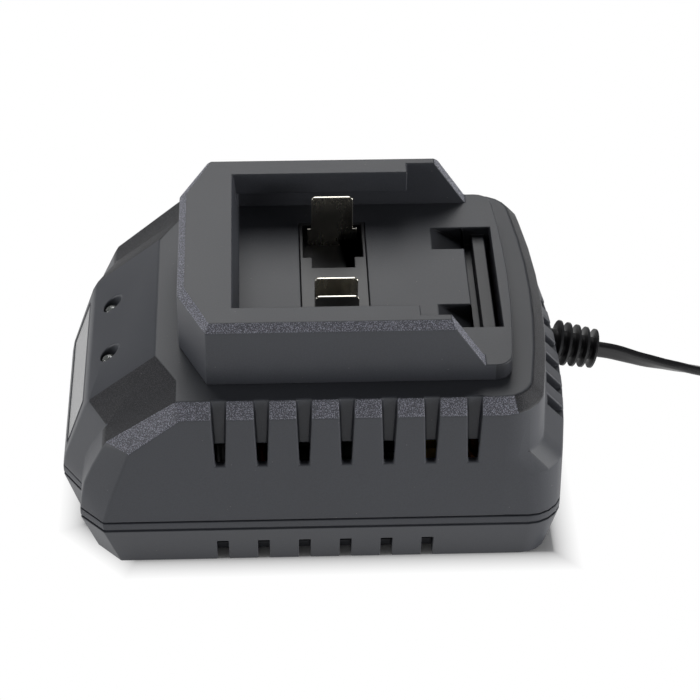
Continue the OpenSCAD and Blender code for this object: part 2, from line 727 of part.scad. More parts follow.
// Parts that are plain moulded boxes on the board: corner and size
bridge_at = [board_x1 - 17, -2];
bridge_size = [5, 15, 14];
line_capacitor_at = [board_x1 - 33, -34];
line_capacitor_size = [9, 17, 14];
optocoupler_at = [block_x - 30.3, 8];
optocoupler_size = [6.4, 4.6, 3.6];
chip_at = [block_x - 34.3, 18];
chip_size = [6.2, 9.8, 1.7];
chip_legs = 7;
chip_leg_pitch = 1.27;
chip_leg_size = [1.2, 0.5, 0.9];
module on_board(at, size) {
    translate([at[0], at[1], board_top]) cube(size);
}
module bridge_rectifier() color("#1f1f21") on_board(bridge_at, bridge_size);
module line_capacitor() color("#d6b13c") on_board(line_capacitor_at, line_capacitor_size);
module optocoupler() color("#1b1b1d") on_board(optocoupler_at, optocoupler_size);
module control_chip() color("#1b1b1d") {
    on_board(chip_at, chip_size);
    for (i = [0 : chip_legs - 1], x = [-chip_leg_size[0], chip_size[0]])
        on_board(chip_at + [x, chip_leg_pitch * (i + 0.6)], chip_leg_size);
}

// Heat sink with fins, and the two devices bolted flat against it
sink_at = [block_x + 1.8, -22];
sink_l = 40;
sink_h = 24;
sink_t = 3;
fin_count = 6;
fin_t = 1.4;
fin_l = 9;
device_x = [-10, 10];
device_hole_z = 20;
tab_t = 1.3;
device_w = 10;
device_z = [6, 15, 23];
case_t = 3.1;
device_leg_w = 0.8;
module heat_sink() color("#b9bcc0") translate([sink_at[0], sink_at[1], board_top]) {
    difference() {
        translate([-sink_l / 2, 0, 0]) cube([sink_l, sink_t, sink_h]);
        for (x = device_x) translate([x, -past, device_hole_z]) rotate([-90, 0, 0])
            cylinder(d = small_screw_d, h = sink_t + 2 * past);
    }
    fin_pitch = (sink_l - fin_t) / (fin_count - 1);
    for (i = [0 : fin_count - 1]) translate([-sink_l / 2 + i * fin_pitch, sink_t - eps, 0])
        cube([fin_t, fin_l, sink_h]);
}
module three_leg(x) {
    half = device_w / 2;
    translate([sink_at[0] + x, sink_at[1], board_top]) difference() {
        union() {
            bar(-half, half, -tab_t, 0, device_z[0], device_z[2]);
            bar(-half, half, -tab_t - case_t, eps - tab_t, device_z[0], device_z[1]);
            for (k = [-1 : 1]) let (x0 = k * leg_gap - device_leg_w / 2)
                bar(x0, x0 + device_leg_w, -tab_t - case_t / 2, -tab_t, 0, device_z[0] + eps);
        }
        translate([0, -tab_t - case_t - past, device_hole_z]) rotate([-90, 0, 0])
            cylinder(d = small_screw_d, h = tab_t + case_t + 2 * past);
    }
}
module power_transistor() color("#27282a") three_leg(device_x[0]);
module output_diode() color("#27282a") three_leg(device_x[1]);
module sink_screws() color("#b4b6b9") for (x = device_x)
    translate([sink_at[0] + x, sink_at[1] - tab_t, board_top + device_hole_z]) rotate([-90, 0, 0])
        small_screw_up([0, 0], 0, tab_t + sink_t - 0.1);

choke_at = [board_x1 - 17, -24];
choke_r = 6;
choke_wire = 3;
module line_choke() color("#b5722e") translate([choke_at[0], choke_at[1], board_top + choke_r + choke_wire])
    rotate([0, 90, 0]) rotate_extrude() translate([choke_r, 0]) circle(r = choke_wire);

resistor_count = 5;
resistor_pitch = 4;
resistor_at = [block_x - 50.3, -6];
resistor_d = 2.4;
resistor_len = 6.4;
resistor_up = 1.6;
resistor_leg = [0.7, 1.5, 2];
module resistors() color("#c8a877") for (i = [0 : resistor_count - 1])
    translate([resistor_at[0] + i * resistor_pitch, resistor_at[1] + 2 * (i % 2), board_top]) {
        translate([0, 0, resistor_up]) rotate([-90, 0, 0]) cylinder(d = resistor_d, h = resistor_len);
        for (y = [-resistor_leg[1], resistor_len]) translate([-resistor_leg[0] / 2, y, 0]) cube(resistor_leg);
    }

// ================= wires inside =================
wire_d = 2.4;
wire_up = [0, 1, 0];
wire_bend = 4;
relief_inside = relief_seat + flange_t;
relief_x = rear_x - bow_at(relief_y);
relief_along = [cos(relief_tilt), 0, -sin(relief_tilt)];
relief_in = [relief_x, relief_y, relief_z] - relief_along * relief_inside;
lead_x = relief_in[0] - 8;
module round_wire(route) tube(route, wire_d, wire_d, [for (p = route) 0], 8, wire_up);
module mains_leads() color("#6b4a2f") for (s = [-1, 1]) {
    start = relief_in + [0, s * wire_d * 0.7, 0];
    side = relief_y + s * wire_bend;
    round_wire([start, start - relief_along * wire_bend, [lead_x + 0.6, side, relief_in[2] - 2.5],
        [lead_x, side, relief_in[2] - 7], [lead_x, side, board_top + 3], [lead_x, side, board_top]]);
}
module output_wires() color("#8d2f2c") for (y = [positive_y, sense_y, negative_y]) {
    x0 = block_x - blade_w / 2 + wire_d;
    x1 = x0 - 18;
    z = blade_foot - wire_bend;
    round_wire([[x0, y, blade_foot], [x0, y, blade_foot - 2], [x0 - 2.5, y, z],
        [x1 + wire_bend, y * 0.95, z - 0.5],
        [x1, y * 0.92, z - 6], [x1, y * 0.9, board_top + wire_bend], [x1, y * 0.9, board_top]]);
}

// ================= fasteners and feet =================
module board_screws() color("#b4b6b9") for (p = board_posts)
    translate([p[0], p[1], board_top]) mirror([0, 0, 1]) small_screw_up([0, 0], 0, board_t + board_hold - 1);
module housing_screws() color("#8d8f92") for (p = towers)
    screw_up(p, screw_sink, screw_d, screw_head_d, screw_head_h, housing_screw_len);
module dock_screws() color("#b4b6b9") for (p = dock_screws_at)
    small_screw_up(p, shoulder_h - wall, dock_screw_len);
module terminal_screws() color("#b4b6b9") for (y = ear_y)
    small_screw_up([block_x, y], block_bottom + ear_up, terminal_screw_len);
module rubber_feet() color("#1c1c1e") for (p = feet) post(p, foot_d, 0, tray_z + foot_in);

// ================= strain relief =================
module relief_place() {
    translate([relief_x, relief_y, relief_z]) rotate([0, 90 + relief_tilt, 0]) children();
}
module strain_relief() color("#161618") relief_place() {
    translate([0, 0, -relief_inside]) cylinder(d = flange_d, h = flange_t);
    translate([0, 0, -relief_inside]) cylinder(d = neck_d, h = relief_inside + first_rib);
    translate([0, 0, first_rib]) cylinder(d1 = neck_d, d2 = tail_d, h = relief_len - first_rib);
    for (i = [0 : rib_count - 1]) let (u = i / (rib_count - 1))
        translate([0, 0, mix(first_rib, relief_len - tip_past - rib_t, u)])
            cylinder(d = mix(first_rib_d, last_rib_d, u), h = rib_t);
}

// ================= cord =================
relief_end = [relief_x, relief_y, relief_z] + relief_along * relief_len;
tie_t = 0.8;
tie_play = 0.8;
pile_gap = 0.5;
coil_at = [190, 2];
coil_r = 35;
coil_turns = 4;
coil_steps = 24;
coil_start = 120;
layer_step = cord_w + pile_gap;
turn_step = cord_t + pile_gap;
coil_low = cord_w / 2 + tie_t + 0.1;
climb_turns = 0.5;
// Turns inward after u turns: in along the lower layer, out again along the upper
turned_in = [[0, 0], [coil_turns + climb_turns, coil_turns + climb_turns],
             [coil_turns + 1, coil_turns - 1], [2 * coil_turns, 0]];
function wound_r(u) = coil_r - turn_step * lookup(u, turned_in);
function climbed(u) = min(1, max(0, (u - coil_turns) / climb_turns));
function wound_z(u) = coil_low + layer_step * (1 - cos(180 * climbed(u))) / 2;
function wound(u) = let (a = coil_start - 360 * u)
    [coil_at[0] + wound_r(u) * cos(a), coil_at[1] + wound_r(u) * sin(a), wound_z(u)];
coil_heading = [sin(coil_start), -cos(coil_start), 0];
wound_points = [for (i = [0 : 2 * coil_turns * coil_steps]) wound(i / coil_steps)];
coil_in = wound(0) - coil_heading * cord_w;
coil_out = wound(2 * coil_turns) + coil_heading * cord_w;
coil_route = concat([coil_in], wound_points, [coil_out]);
// Least gap between a turn and the turns beside and above it, at the rings
function turn_gap(a, b) = max(abs(wound_r(a) - wound_r(b)) - cord_t, abs(wound_z(a) - wound_z(b)) - cord_w);
coil_gap = min([for (i = [0 : 2 * coil_turns * coil_steps], k = [1 : 2 * coil_turns])
    if (i + k * coil_steps < len(wound_points)) turn_gap(i / coil_steps, i / coil_steps + k)]);

cord_route = concat([relief_end, relief_end + relief_along * 6],
    [[94, 18.6, 18], [103, 19, 15.2], [112, 19.6, 12.4], [121, 20.4, 9.6],
     [130, 21.4, 7], [140, 22.8, 5.2]],
    [coil_in - coil_heading * 12, coil_in - coil_heading * 6, coil_in]);
cord_rolls = [90, 88, 70, 48, 30, 20, 20, 30, 60, 90, 90];
plug_turn = -30;
plug_h = 13.8;
plug_in = [226, 36, plug_h / 2];
plug_dir = [cos(plug_turn), sin(plug_turn), 0];
tail_route = concat([coil_out, coil_out + coil_heading * cord_w],
    [[190, 42, 8.9], [201, 45.4, 8.7], [212, 44, 8]], [plug_in - plug_dir * cord_w, plug_in]);
tail_rolls = [90, 90, 70, 40, 15, 0, 0];
module mains_cord() color("#141416") tube(cord_route, cord_w, cord_t, cord_rolls, 10);
module plug_lead() color("#141416") tube(tail_route, cord_w, cord_t, tail_rolls, 10);
module cord_coil() color("#141416") tube(coil_route, cord_w, cord_t, [for (p = coil_route) 90], 6);

tie_angle = -40;
tie_w = 9;
module cord_tie() color("#232326") translate([coil_at[0], coil_at[1], 0]) rotate([0, 0, tie_angle]) {
    inner = wound_r(coil_turns + climb_turns) - cord_t / 2 - tie_play;
    outer = coil_r + cord_t / 2 + tie_play;
    top = coil_low + layer_step + cord_w / 2 + 0.2;
    difference() {
        translate([inner - tie_t, -tie_w / 2, 0]) cube([outer - inner + 2 * tie_t, tie_w, top + tie_t]);
        translate([inner, -tie_w, tie_t]) cube([outer - inner, 2 * tie_w, top - tie_t]);
    }
}

// ================= plug: flat two-pin body lying on its wide face =================
// Cross-sections of the body from its cord end: distance, width and height
plug_shape = [[0, 8, 7], [9, 18, 11], [19, 35, plug_h], [26, 31, plug_h]];
pin_d = 4;
pin_len = 19;
pin_gap = 18.6;
module plug_place() {
    translate(plug_in) rotate([0, 0, plug_turn]) rotate([0, 90, 0]) children();
}
module plug_slice(s) {
    translate([-s[2] / 2, -s[1] / 2, s[0] > 0 ? s[0] - eps : 0]) cube([s[2], s[1], eps]);
}
module plug_body() color("#141416") plug_place() {
    hull() for (i = [0, 1]) plug_slice(plug_shape[i]);
    hull() for (i = [1, 2, 3]) plug_slice(plug_shape[i]);
}
module plug_pins() color("#c9c9c6") plug_place() for (s = [-1, 1])
    translate([0, s * pin_gap / 2, plug_shape[3][0]]) {
        cylinder(d = pin_d, h = pin_len - pin_d / 2);
        translate([0, 0, pin_len - pin_d / 2]) sphere(d = pin_d);
    }

cord_total = total(cord_route) + total(coil_route) + total(tail_route);
echo(coil_gap = coil_gap, cord_total = cord_total, nose_x = nose_x, block_x = block_x);

bottom_tray();
upper_housing();
battery_dock();
terminal_block();
blade_positive();
blade_sense();
blade_negative();
led_charging();
led_ready();
led_stands();
led_legs();
front_label();
circuit_board();
transformer_core();
transformer_bobbin();
transformer_winding();
bulk_capacitor();
output_capacitors();
fuse();
bridge_rectifier();
heat_sink();
power_transistor();
output_diode();
sink_screws();
line_choke();
line_capacitor();
optocoupler();
control_chip();
resistors();
mains_leads();
output_wires();
board_screws();
housing_screws();
dock_screws();
terminal_screws();
rubber_feet();
strain_relief();
mains_cord();
cord_coil();
cord_tie();
plug_lead();
plug_body();
plug_pins();
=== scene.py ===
# Looks of the battery charger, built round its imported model.
# +X runs from the nose with the two indicator holes to the cord, +Z is up.
# Sizes of the charger are in millimetres, and MM turns them into the model's metres.
# Lengths of textures, lights and the floor are in metres.
import json
import math

import bpy
from mathutils import Matrix, Vector

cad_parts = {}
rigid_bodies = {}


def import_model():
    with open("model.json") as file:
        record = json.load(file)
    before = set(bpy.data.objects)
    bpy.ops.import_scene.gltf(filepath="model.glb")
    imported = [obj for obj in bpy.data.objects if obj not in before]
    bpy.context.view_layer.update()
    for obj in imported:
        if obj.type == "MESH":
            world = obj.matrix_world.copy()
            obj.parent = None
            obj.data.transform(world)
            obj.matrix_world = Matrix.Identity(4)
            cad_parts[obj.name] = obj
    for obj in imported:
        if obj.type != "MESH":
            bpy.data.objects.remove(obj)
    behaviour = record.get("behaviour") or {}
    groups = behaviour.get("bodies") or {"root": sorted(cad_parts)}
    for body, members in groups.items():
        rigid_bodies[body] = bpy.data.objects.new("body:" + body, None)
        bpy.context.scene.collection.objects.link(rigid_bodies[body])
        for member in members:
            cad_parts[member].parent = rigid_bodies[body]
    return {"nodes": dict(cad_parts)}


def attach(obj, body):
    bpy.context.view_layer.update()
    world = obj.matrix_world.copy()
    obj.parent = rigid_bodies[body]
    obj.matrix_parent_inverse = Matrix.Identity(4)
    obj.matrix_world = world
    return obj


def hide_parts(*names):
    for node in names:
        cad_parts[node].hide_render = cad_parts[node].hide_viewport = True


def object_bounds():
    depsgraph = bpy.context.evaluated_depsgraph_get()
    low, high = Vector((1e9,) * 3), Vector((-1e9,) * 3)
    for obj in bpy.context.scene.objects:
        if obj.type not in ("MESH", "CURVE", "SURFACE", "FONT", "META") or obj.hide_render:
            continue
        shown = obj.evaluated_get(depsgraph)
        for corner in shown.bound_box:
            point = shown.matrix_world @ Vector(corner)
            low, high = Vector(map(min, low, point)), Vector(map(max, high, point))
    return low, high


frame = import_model()
cad_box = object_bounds()
NODES = frame["nodes"]
MM = 0.001


def mm(*v):
    return Vector(v) * MM


# ---------------------------------------------------------------- camera
VIEW_TARGET = mm(3.4, 0, 38.7)
VIEW_DISTANCE = 699.681 * MM
VIEW_AZIMUTH = math.radians(-2.535)
VIEW_ELEVATION = math.radians(38.928)
VIEW_ROLL = math.radians(0.61)
VIEW_OFFSET = (0.014 * MM, -0.035 * MM)
FOCAL_PIXELS = 2376.882
FRAME_PIXELS = 700
SENSOR = 36.0
NEAREST = 0.01
FARTHEST = 20


def make_camera():
    flat = math.cos(VIEW_ELEVATION)
    back = Vector((math.sin(VIEW_AZIMUTH) * flat, -math.cos(VIEW_AZIMUTH) * flat, math.sin(VIEW_ELEVATION)))
    side = Vector((math.cos(VIEW_AZIMUTH), math.sin(VIEW_AZIMUTH), 0))
    up = back.cross(side)
    right = math.cos(VIEW_ROLL) * side + math.sin(VIEW_ROLL) * up
    upright = math.cos(VIEW_ROLL) * up - math.sin(VIEW_ROLL) * side
    data = bpy.data.cameras.new("studio_camera")
    data.sensor_width = SENSOR
    data.lens = FOCAL_PIXELS / FRAME_PIXELS * SENSOR
    data.clip_start = NEAREST
    data.clip_end = FARTHEST
    camera = bpy.data.objects.new("studio_camera", data)
    bpy.context.scene.collection.objects.link(camera)
    place = VIEW_TARGET - right * VIEW_OFFSET[0] - upright * VIEW_OFFSET[1] + back * VIEW_DISTANCE
    turn = Matrix((right, upright, back)).transposed().to_4x4()
    camera.matrix_world = Matrix.Translation(place) @ turn
    bpy.context.scene.camera = camera


# ---------------------------------------------------------------- shader tools
def tint(colour, factor):
    """The colour made darker or lighter, at most white."""
    return tuple(min(1, c * factor) for c in colour)


class Value:
    """A node socket that adds, subtracts and multiplies."""

    def __init__(self, shader, socket):
        self.shader = shader
        self.socket = socket

    def maths(self, operation, a, b=None, clamp=False):
        inputs = {0: a}
        if b is not None:
            inputs[1] = b
        settings = {"operation": operation, "use_clamp": clamp}
        return self.shader.node("ShaderNodeMath", settings, inputs)

    def __add__(self, other):
        return self.maths("ADD", self, other)

    def __radd__(self, other):
        return self.maths("ADD", other, self)

    def __sub__(self, other):
        return self.maths("SUBTRACT", self, other)

    def __rsub__(self, other):
        return self.maths("SUBTRACT", other, self)

    def __mul__(self, other):
        return self.maths("MULTIPLY", self, other)

    def absolute(self):
        return self.maths("ABSOLUTE", self)

    def at_least(self, least):
        return self.maths("MAXIMUM", self, least)

    def at_most(self, most):
        return self.maths("MINIMUM", self, most)

    def root(self):
        return self.maths("SQRT", self)

    def above(self, edge, soft):
        """0 below edge, 1 above edge + soft."""
        return self.maths("DIVIDE", self - edge, soft, clamp=True)


class Shader:
    """One material's nodes."""

    def __init__(self, name):
        self.material = bpy.data.materials.new(name)
        self.material.use_nodes = True
        self.tree = self.material.node_tree
        self.tree.nodes.clear()
        self.output = self.tree.nodes.new("ShaderNodeOutputMaterial")
        self.place = self.node("ShaderNodeTexCoord", {}, {}, "Object")

    def node(self, kind, settings, inputs, output=0):
        made = self.tree.nodes.new(kind)
        for key, value in settings.items():
            setattr(made, key, value)
        for key, value in inputs.items():
            self.feed(made.inputs[key], value)
        return Value(self, made.outputs[output])

    def feed(self, socket, value):
        if isinstance(value, Value):
            self.tree.links.new(value.socket, socket)
        elif isinstance(value, (tuple, list)) and socket.type == "RGBA" and len(value) == 3:
            socket.default_value = (*value, 1)
        else:
            socket.default_value = value

    def noise(self, scale, detail=2.0, rough=0.5, place=None):
        inputs = {"Vector": place or self.place, "Scale": scale, "Detail": detail, "Roughness": rough}
        return self.node("ShaderNodeTexNoise", {}, inputs, "Fac")

    def cells(self, scale):
        return self.node("ShaderNodeTexVoronoi", {}, {"Vector": self.place, "Scale": scale}, "Distance")

    def mix(self, share, a, b):
        """Colours or vectors a and b mixed by share."""
        settings = {"data_type": "RGBA", "blend_type": "MIX"}
        return self.node("ShaderNodeMix", settings, {0: share, 6: a, 7: b}, 2)

    def clouded(self, cloud, colour, dark, light, edge=0.3, soft=0.4):
        """The colour times dark where the cloud is thin and times light where it is thick."""
        return self.mix(cloud.above(edge, soft), tint(colour, dark), tint(colour, light))

    def axis(self, name):
        return self.node("ShaderNodeSeparateXYZ", {}, {0: self.place}, name)

    def mask(self, name):
        return self.node("ShaderNodeAttribute", {"attribute_name": name}, {}, "Fac")

    def stretched(self, scale):
        return self.node("ShaderNodeMapping", {}, {"Vector": self.place, "Scale": scale})

    def bump(self, height, depth, strength=1.0, normal=None):
        inputs = {"Height": height, "Distance": depth, "Strength": strength}
        if normal is not None:
            inputs["Normal"] = normal
        return self.node("ShaderNodeBump", {}, inputs)

    def finish(self, **inputs):
        names = {key.replace("_", " "): value for key, value in inputs.items()}
        shader = self.node("ShaderNodeBsdfPrincipled", {}, names)
        self.feed(self.output.inputs["Surface"], shader)
        return self.material


# ---------------------------------------------------------------- materials
# Marks on faces: the coarse spark texture, in a bright band or a dark facet, and the recesses, which get
# painted shade.
SPARK = "spark"
RECESS_SHADE = "recess_shade"
SPARK_BAND = 1.0
SPARK_FACET = 0.5
CHARCOAL = (0.056, 0.0595, 0.070)
CHARCOAL_SPARK = (0.048, 0.049, 0.058)
DUST = (0.22, 0.22, 0.22)
# Painted shade: the near black that faces in the recesses are mixed towards.
PAINTED_SHADE_BLACK = (0.006, 0.006, 0.008)
SKIN_DEPTH = 0.00006
PIT_DEPTH = 0.0002
HOUSING_ROUGH = 0.46
DOCK_ROUGH = 0.44


def moulded_charcoal(name, rough):
    """Satin charcoal ABS whose marked faces have the coarse spark texture, and painted shade in the
    recesses.
    """
    s = Shader(name)
    marked = s.mask(SPARK)
    cloud = s.noise(28, 3)
    grain = s.noise(2600, 2, 0.6)
    pits = s.noise(3600, 2, 0.7)
    mottle = cloud.above(0.3, 0.45) * 0.5 + grain.above(0.35, 0.3) * 0.5
    shade = s.mix(mottle, tint(CHARCOAL, 0.86), tint(CHARCOAL, 1.14))
    tops = pits.above(0.5, 0.12)
    facet = s.mix(tops, tint(CHARCOAL_SPARK, 0.25), tint(CHARCOAL_SPARK, 1.1))
    band = s.mix(tops, tint(CHARCOAL_SPARK, 2.0), tint(CHARCOAL_SPARK, 9.5))
    textured = s.mix(marked.above(0.7, 0.1), s.mix(marked.above(0.2, 0.1), shade, facet), band)
    # Painted shade: faces marked as recesses are mixed towards near black.
    recess_shaded = s.mix(s.mask(RECESS_SHADE) * 0.55, textured, PAINTED_SHADE_BLACK)
    fine = s.bump(s.noise(1700, 3, 0.7), SKIN_DEPTH, 0.5)
    relief = s.bump(pits, PIT_DEPTH, marked * 0.9, fine)
    dullness = rough + marked * 0.1 + (cloud - 0.5) * 0.1 + (grain - 0.5) * 0.08
    return s.finish(Base_Color=s.mix(dust_specks(s) * 0.5, recess_shaded, DUST), Roughness=dullness,
                    Specular_IOR_Level=0.42, Normal=relief)


def dust_specks(s):
    """1 on small round specks that lie in patches."""
    outside = s.cells(420).above(0.055, 0.02)
    patches = s.noise(310, 1).above(0.56, 0.05)
    return (1 - outside) * patches


def plain_moulding(name, colour, rough, grain_scale=2200, depth=0.00002):
    """Any smaller moulded piece: a slight cloud in its colour, a fine grain and painted shade in the
    recesses.
    """
    s = Shader(name)
    cloud = s.noise(60, 3)
    grain = s.noise(grain_scale, 2)
    # Painted shade: faces marked as recesses are mixed towards near black.
    shade = s.mix(s.mask(RECESS_SHADE) * 0.7, s.clouded(cloud, colour, 0.88, 1.12), PAINTED_SHADE_BLACK)
    dullness = rough + (grain - 0.5) * 0.12
    return s.finish(Base_Color=shade, Roughness=dullness, Normal=s.bump(grain, depth, 0.5))


def brushed_metal(name, colour, rough, stretch):
    """Plated strip, drawn wire or a machined face with fine lines along one axis."""
    s = Shader(name)
    lines = s.noise(1500, 2, 0.5, s.stretched(stretch))
    cloud = s.noise(140, 2)
    shade = s.clouded(cloud, colour, 0.9, 1, 0.35, 0.35)
    dullness = rough + (lines - 0.5) * 0.06 + (cloud - 0.5) * 0.1
    return s.finish(Base_Color=shade, Metallic=1.0, Roughness=dullness, Normal=s.bump(lines, 0.000004, 0.3))


EPOXY_DARK = (0.86, 0.9, 0.88)
EPOXY_LIGHT = (0.95, 0.97, 0.96)


def clear_epoxy():
    """Clear resin with a faint cloud."""
    s = Shader("clear_epoxy")
    cloud = s.noise(400, 2)
    shade = s.mix(cloud.above(0.4, 0.3), EPOXY_DARK, EPOXY_LIGHT)
    return s.finish(Base_Color=shade, Roughness=0.06 + cloud * 0.05, IOR=1.52, Transmission_Weight=0.85)


def soft_rubber(name, colour, rough):
    """Moulded PVC or rubber with a faint skin."""
    s = Shader(name)
    cloud = s.noise(90, 3)
    skin = s.noise(1800, 2)
    shade = s.clouded(cloud, colour, 0.85, 1.2)
    dullness = rough + (cloud - 0.5) * 0.14
    return s.finish(Base_Color=shade, Roughness=dullness, Specular_IOR_Level=0.5,
                    Normal=s.bump(skin, 0.00002, 0.4))


MASK_DARK = (0.02, 0.11, 0.04)
MASK_LIGHT = (0.03, 0.15, 0.06)
MASK_OVER_COPPER = (0.05, 0.22, 0.09)


def green_board():
    """Green solder mask, paler between the bricks of the pattern."""
    s = Shader("solder_mask")
    bricks = {"Vector": s.place, "Scale": 260.0, "Mortar Size": 0.012}
    tracks = s.node("ShaderNodeTexBrick", {}, bricks, "Fac")
    cloud = s.noise(70, 3)
    base = s.mix(cloud.above(0.3, 0.4), MASK_DARK, MASK_LIGHT)
    shade = s.mix(tracks, base, MASK_OVER_COPPER)
    return s.finish(Base_Color=shade, Roughness=0.35 + cloud * 0.1, Normal=s.bump(tracks, 0.00004, 0.3))


COPPER_GAP = (0.20, 0.07, 0.03)
COPPER_WIRE = (0.52, 0.22, 0.09)


def wound_copper():
    """Enamelled copper wire laid side by side."""
    s = Shader("wound_copper")
    rings = {"wave_type": "RINGS", "rings_direction": "X"}
    wires = {"Vector": s.place, "Scale": 260.0, "Distortion": 1.5}
    turns = s.node("ShaderNodeTexWave", rings, wires, "Fac")
    shade = s.mix(turns, COPPER_GAP, COPPER_WIRE)
    return s.finish(Base_Color=shade, Metallic=0.8, Roughness=0.3 + turns * 0.15,
                    Normal=s.bump(turns, 0.0002, 0.6))


def shrink_sleeve(name, colour):
    """Glossy shrink sleeve, left bare."""
    s = Shader(name)
    cloud = s.noise(120, 2)
    shade = s.clouded(cloud, colour, 0.85, 1.15)
    return s.finish(Base_Color=shade, Roughness=0.22 + cloud * 0.12, Normal=s.bump(cloud, 0.0001, 0.2))


STRAP_DARK = (0.008, 0.008, 0.009)
STRAP_LIGHT = (0.035, 0.035, 0.038)
WEAVE_SCALE = 900.0


def hook_strap():
    """Black woven hook and loop strap."""
    s = Shader("hook_strap")
    threads = {"Vector": s.place, "Scale": WEAVE_SCALE}
    weft = s.node("ShaderNodeTexWave", {"bands_direction": "Z"}, threads, "Fac")
    warp = s.node("ShaderNodeTexWave", {"bands_direction": "X"}, threads, "Fac")
    weave = (weft + warp) * 0.5
    fuzz = s.noise(3000, 2)
    shade = s.mix(weave * 0.7 + fuzz * 0.3, STRAP_DARK, STRAP_LIGHT)
    return s.finish(Base_Color=shade, Roughness=0.85 + fuzz * 0.1,
                    Normal=s.bump(weave + fuzz * 0.5, 0.0002, 0.7))


SLEEVE = "sleeve"
PLATE_DARK = (0.62, 0.6, 0.55)
PLATE_LIGHT = (0.78, 0.76, 0.7)
SLEEVE_BLACK = (0.012, 0.012, 0.013)


def sleeved_pins():
    """Plated pins with a black sleeve on the half next to the plug."""
    s = Shader("sleeved_pins")
    sleeve = s.mask(SLEEVE)
    cloud = s.noise(300, 2)
    metal = s.mix(cloud.above(0.3, 0.4), PLATE_DARK, PLATE_LIGHT)
    shade = s.mix(sleeve, metal, SLEEVE_BLACK)
    return s.finish(Base_Color=shade, Metallic=1 - sleeve, Roughness=0.22 + sleeve * 0.25 + cloud * 0.06,
                    Normal=s.bump(cloud, 0.00002, 0.3))


# ---------------------------------------------------------------- modelling tools
def deselect():
    for o in bpy.context.view_layer.objects:
        o.select_set(False)


def take_up(obj):
    deselect()
    obj.select_set(True)
    bpy.context.view_layer.objects.active = obj


def edit(obj, *steps):
    """Runs the steps in edit mode with everything selected."""
    take_up(obj)
    bpy.ops.object.mode_set(mode="EDIT")
    bpy.ops.mesh.select_all(action="SELECT")
    for step in steps:
        step()
    bpy.ops.object.mode_set(mode="OBJECT")


MERGE_WITHIN = 0.00006
NO_AREA_UNDER = 0.00001
FLAT_WITHIN = math.radians(0.8)


def copy_of(node):
    """A merged copy of a CAD node's mesh, with its flat faces made whole."""
    made = bpy.data.objects.new(node + "_dressed", NODES[node].data.copy())
    bpy.context.scene.collection.objects.link(made)
    made.data.materials.clear()
    edit(made,
         lambda: bpy.ops.mesh.customdata_custom_splitnormals_clear(),
         lambda: bpy.ops.mesh.remove_doubles(threshold=MERGE_WITHIN),
         lambda: bpy.ops.mesh.dissolve_degenerate(threshold=NO_AREA_UNDER),
         lambda: bpy.ops.mesh.dissolve_limited(angle_limit=FLAT_WITHIN))
    return made


def apply(obj, kind, **settings):
    take_up(obj)
    modifier = obj.modifiers.new(kind.lower(), kind)
    for key, value in settings.items():
        setattr(modifier, key, value)
    bpy.ops.object.modifier_apply(modifier=modifier.name)


def soften(obj, width, segments=2, angle=24):
    """Rounds the edges that turn by more than angle."""
    apply(obj, "BEVEL", width=width * MM, segments=segments, limit_method="ANGLE",
          angle_limit=math.radians(angle), use_clamp_overlap=False, miter_outer="MITER_SHARP")


def smooth(obj, angle):
    take_up(obj)
    bpy.ops.object.shade_smooth_by_angle(angle=math.radians(angle))


def weigh(obj):
    """Flat faces keep their own shading, and the rounded edges take the turn."""
    take_up(obj)
    bpy.ops.object.shade_smooth()
    apply(obj, "WEIGHTED_NORMAL", mode="FACE_AREA", weight=60, keep_sharp=True)


def mark(obj, name, wanted):
    """A face attribute that holds wanted(centre in mm, normal) for each face."""
    layer = obj.data.attributes.new(name, "FLOAT", "FACE")
    for face in obj.data.polygons:
        layer.data[face.index].value = float(wanted(face.center / MM, face.normal))


def settle(obj, material, slot, *nodes):
    """Gives a finished piece its material and body, and hides the nodes it stands for. The slot is not
    used.
    """
    obj.data.materials.clear()
    obj.data.materials.append(material)
    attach(obj, "root")
    if nodes:
        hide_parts(*nodes)
    return obj


def dress(node, material):
    """Gives a CAD node that is shown as it is its material."""
    data = NODES[node].data
    data.materials.clear()
    data.materials.append(material)


def turned(name, at, along, profile, sides=48):
    """A turned piece: a disc extruded along its axis and resized at each step of the profile."""
    deselect()
    axis = along.normalized()
    turn = axis.to_track_quat("Z", "Y").to_euler()
    start = at + axis * profile[0][0] * MM
    bpy.ops.mesh.primitive_circle_add(vertices=sides, radius=profile[0][1] * MM, fill_type="NGON",
                                      location=start, rotation=turn)
    obj = bpy.context.active_object
    obj.name = name
    bpy.ops.object.transform_apply(location=True, rotation=True, scale=True)
    bpy.ops.object.mode_set(mode="EDIT")
    bpy.ops.mesh.select_all(action="SELECT")
    for (d0, r0), (d1, r1) in zip(profile, profile[1:]):
        step = axis * (d1 - d0) * MM
        centre = at + axis * d1 * MM
        bpy.ops.mesh.extrude_region_move(TRANSFORM_OT_translate={"value": step})
        bpy.ops.transform.resize(value=(r1 / r0,) * 3, center_override=centre)
    bpy.ops.mesh.select_all(action="SELECT")
    bpy.ops.mesh.normals_make_consistent(inside=False)
    bpy.ops.object.mode_set(mode="OBJECT")
    return obj


# ---------------------------------------------------------------- sizes shared with the model
NOSE_X = cad_box[0][0] / MM
SHOULDER_H = 60.0
BEVEL_Z = 56.0
BAY_FLOOR = 65.5
# The recesses with painted shade lie from this far below the bay's floor to this far below the shoulder.
RECESS_SHADE_FROM = 1.2
RECESS_SHADE_TO = 12.0
BROW_LOW = 38.0
CHEEK_SIDE = 37.0
RAIL_BEVEL_Z = 66.5
RELIEF_AT = (64.81, 18.4, 26.0)
RELIEF_TILT = math.radians(13)
RELIEF_LEN = 14.8
RELIEF_ALONG = Vector((math.cos(RELIEF_TILT), 0, -math.sin(RELIEF_TILT)))


